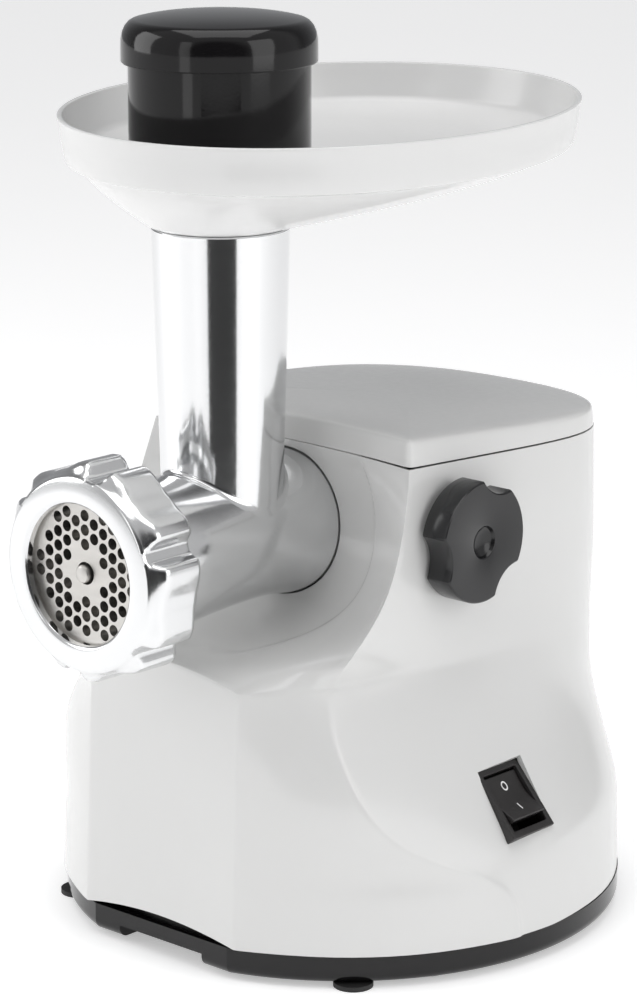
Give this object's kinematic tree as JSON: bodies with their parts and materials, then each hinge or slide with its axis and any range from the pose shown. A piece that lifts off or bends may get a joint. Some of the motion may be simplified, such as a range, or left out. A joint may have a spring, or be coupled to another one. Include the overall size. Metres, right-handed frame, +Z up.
{
  "type": "electric meat grinder",
  "caption": "Tabletop electric meat grinder with a flared white housing, polished grinding head, oval feed tray, pusher, side locking knob and rocker switch.",
  "frame": {"origin": "on the ground under the middle of the machine's overall box", "axes": "+Z up, -Y is the front where the mince comes out, +X is the side with the locking knob and the switch"},
  "size_m": [0.234, 0.27, 0.376],
  "materials": {
    "white_plastic": "gloss moulded",
    "tray_plastic": "gloss moulded",
    "black_plastic": "high gloss moulded",
    "knob_plastic": "satin gloss moulded",
    "switch_plastic": "fine texture",
    "case_plastic": "moulded",
    "feet_rubber": "moulded",
    "steel": "turned and ground",
    "polished_aluminium": "polished",
    "die_cast": "as cast",
    "gear_nylon": "moulded",
    "bronze": "sintered",
    "lamination": "stacked sheet",
    "copper": "enamelled wire",
    "carbon": "pressed carbon",
    "brass_metal": "stamped"
  },
  "bodies": {
    "housing": {"housing_shell": "white_plastic", "top_lid": "white_plastic", "base_pan": "black_plastic", "rubber_feet": "feet_rubber", "base_screws": "steel", "gear_axles": "steel", "gearbox_case": "case_plastic", "gearbox_cover": "case_plastic", "gearbox_screws": "steel", "output_bushes": "bronze", "stator_core": "lamination", "field_coils": "copper", "motor_front_bracket": "die_cast", "motor_rear_bracket": "die_cast", "motor_bearings": "steel", "motor_bolts": "steel", "carbon_brushes": "carbon", "brush_holders": "case_plastic", "motor_cradle": "case_plastic", "head_socket": "die_cast", "socket_screws": "steel", "switch_bezel": "switch_plastic", "switch_body": "switch_plastic", "rocker_pin": "steel", "switch_terminals": "brass_metal", "cord_inlet": "switch_plastic"},
    "rotor": {"motor_pinion": "steel", "motor_shaft": "steel", "armature": "lamination", "armature_winding": "copper", "commutator": "copper", "cooling_fan": "case_plastic"},
    "first_gear": {"first_gear": "gear_nylon"},
    "second_gear": {"second_gear": "gear_nylon"},
    "output": {"output_gear": "gear_nylon", "drive_coupling": "steel"},
    "head": {"head_casting": "polished_aluminium", "worm_bush": "gear_nylon", "plate_pin": "steel", "mincing_plate": "steel"},
    "worm": {"worm": "die_cast", "thrust_washer": "gear_nylon", "knife": "steel"},
    "ring_nut": {"ring_nut": "polished_aluminium"},
    "tray": {"tray": "tray_plastic"},
    "pusher": {"pusher": "black_plastic"},
    "pusher_cap": {"pusher_cap": "black_plastic"},
    "locking_knob": {"locking_knob": "knob_plastic", "locking_stud": "steel"},
    "rocker": {"switch_rocker": "switch_plastic"}
  },
  "joints": [
    {"name": "rotor_spin", "type": "hinge", "parent": "housing", "child": "rotor", "pos_m": [0, 0.09, 0.08039], "axis": [0, 1, 0], "continuous": true},
    {"name": "first_gear_spin", "type": "hinge", "parent": "housing", "child": "first_gear", "pos_m": [0.01296, 0.046, 0.10744], "axis": [0, 1, 0], "continuous": true},
    {"name": "second_gear_spin", "type": "hinge", "parent": "housing", "child": "second_gear", "pos_m": [-0.01385, 0.03, 0.12994], "axis": [0, 1, 0], "continuous": true},
    {"name": "output_spin", "type": "hinge", "parent": "housing", "child": "output", "pos_m": [0, 0.02, 0.168], "axis": [0, 1, 0], "continuous": true},
    {"name": "head_release", "type": "slide", "parent": "housing", "child": "head", "axis": [0, -1, 0], "range_m": [0, 0.06]},
    {"name": "worm_spin", "type": "hinge", "parent": "head", "child": "worm", "pos_m": [0, -0.07, 0.168], "axis": [0, 1, 0], "continuous": true},
    {"name": "ring_nut_turn", "type": "hinge", "parent": "head", "child": "ring_nut", "pos_m": [0, -0.12, 0.168], "axis": [0, -1, 0], "range_deg": [0, 720]},
    {"name": "tray_lift", "type": "slide", "parent": "head", "child": "tray", "axis": [0, 0, 1], "range_m": [0, 0.03]},
    {"name": "pusher_lift", "type": "slide", "parent": "tray", "child": "pusher", "axis": [0, 0, 1], "range_m": [0, 0.13]},
    {"name": "cap_lift", "type": "slide", "parent": "pusher", "child": "pusher_cap", "axis": [0, 0, 1], "range_m": [0, 0.03]},
    {"name": "locking_knob_turn", "type": "hinge", "parent": "housing", "child": "locking_knob", "pos_m": [0.08, 0, 0.1705], "axis": [1, 0, 0], "range_deg": [0, 720]},
    {"name": "rocker_tilt", "type": "hinge", "parent": "housing", "child": "rocker", "pos_m": [0.09773, 0.0055, 0.06172], "axis": [0, 1, 0], "range_deg": [0, 22]}
  ],
  "couplings": [
    {"joint": "first_gear_spin", "follows": "rotor_spin", "ratio": -0.2},
    {"joint": "second_gear_spin", "follows": "rotor_spin", "ratio": 0.054545},
    {"joint": "output_spin", "follows": "rotor_spin", "ratio": -0.015584},
    {"joint": "worm_spin", "follows": "rotor_spin", "ratio": -0.015584}
  ]
}
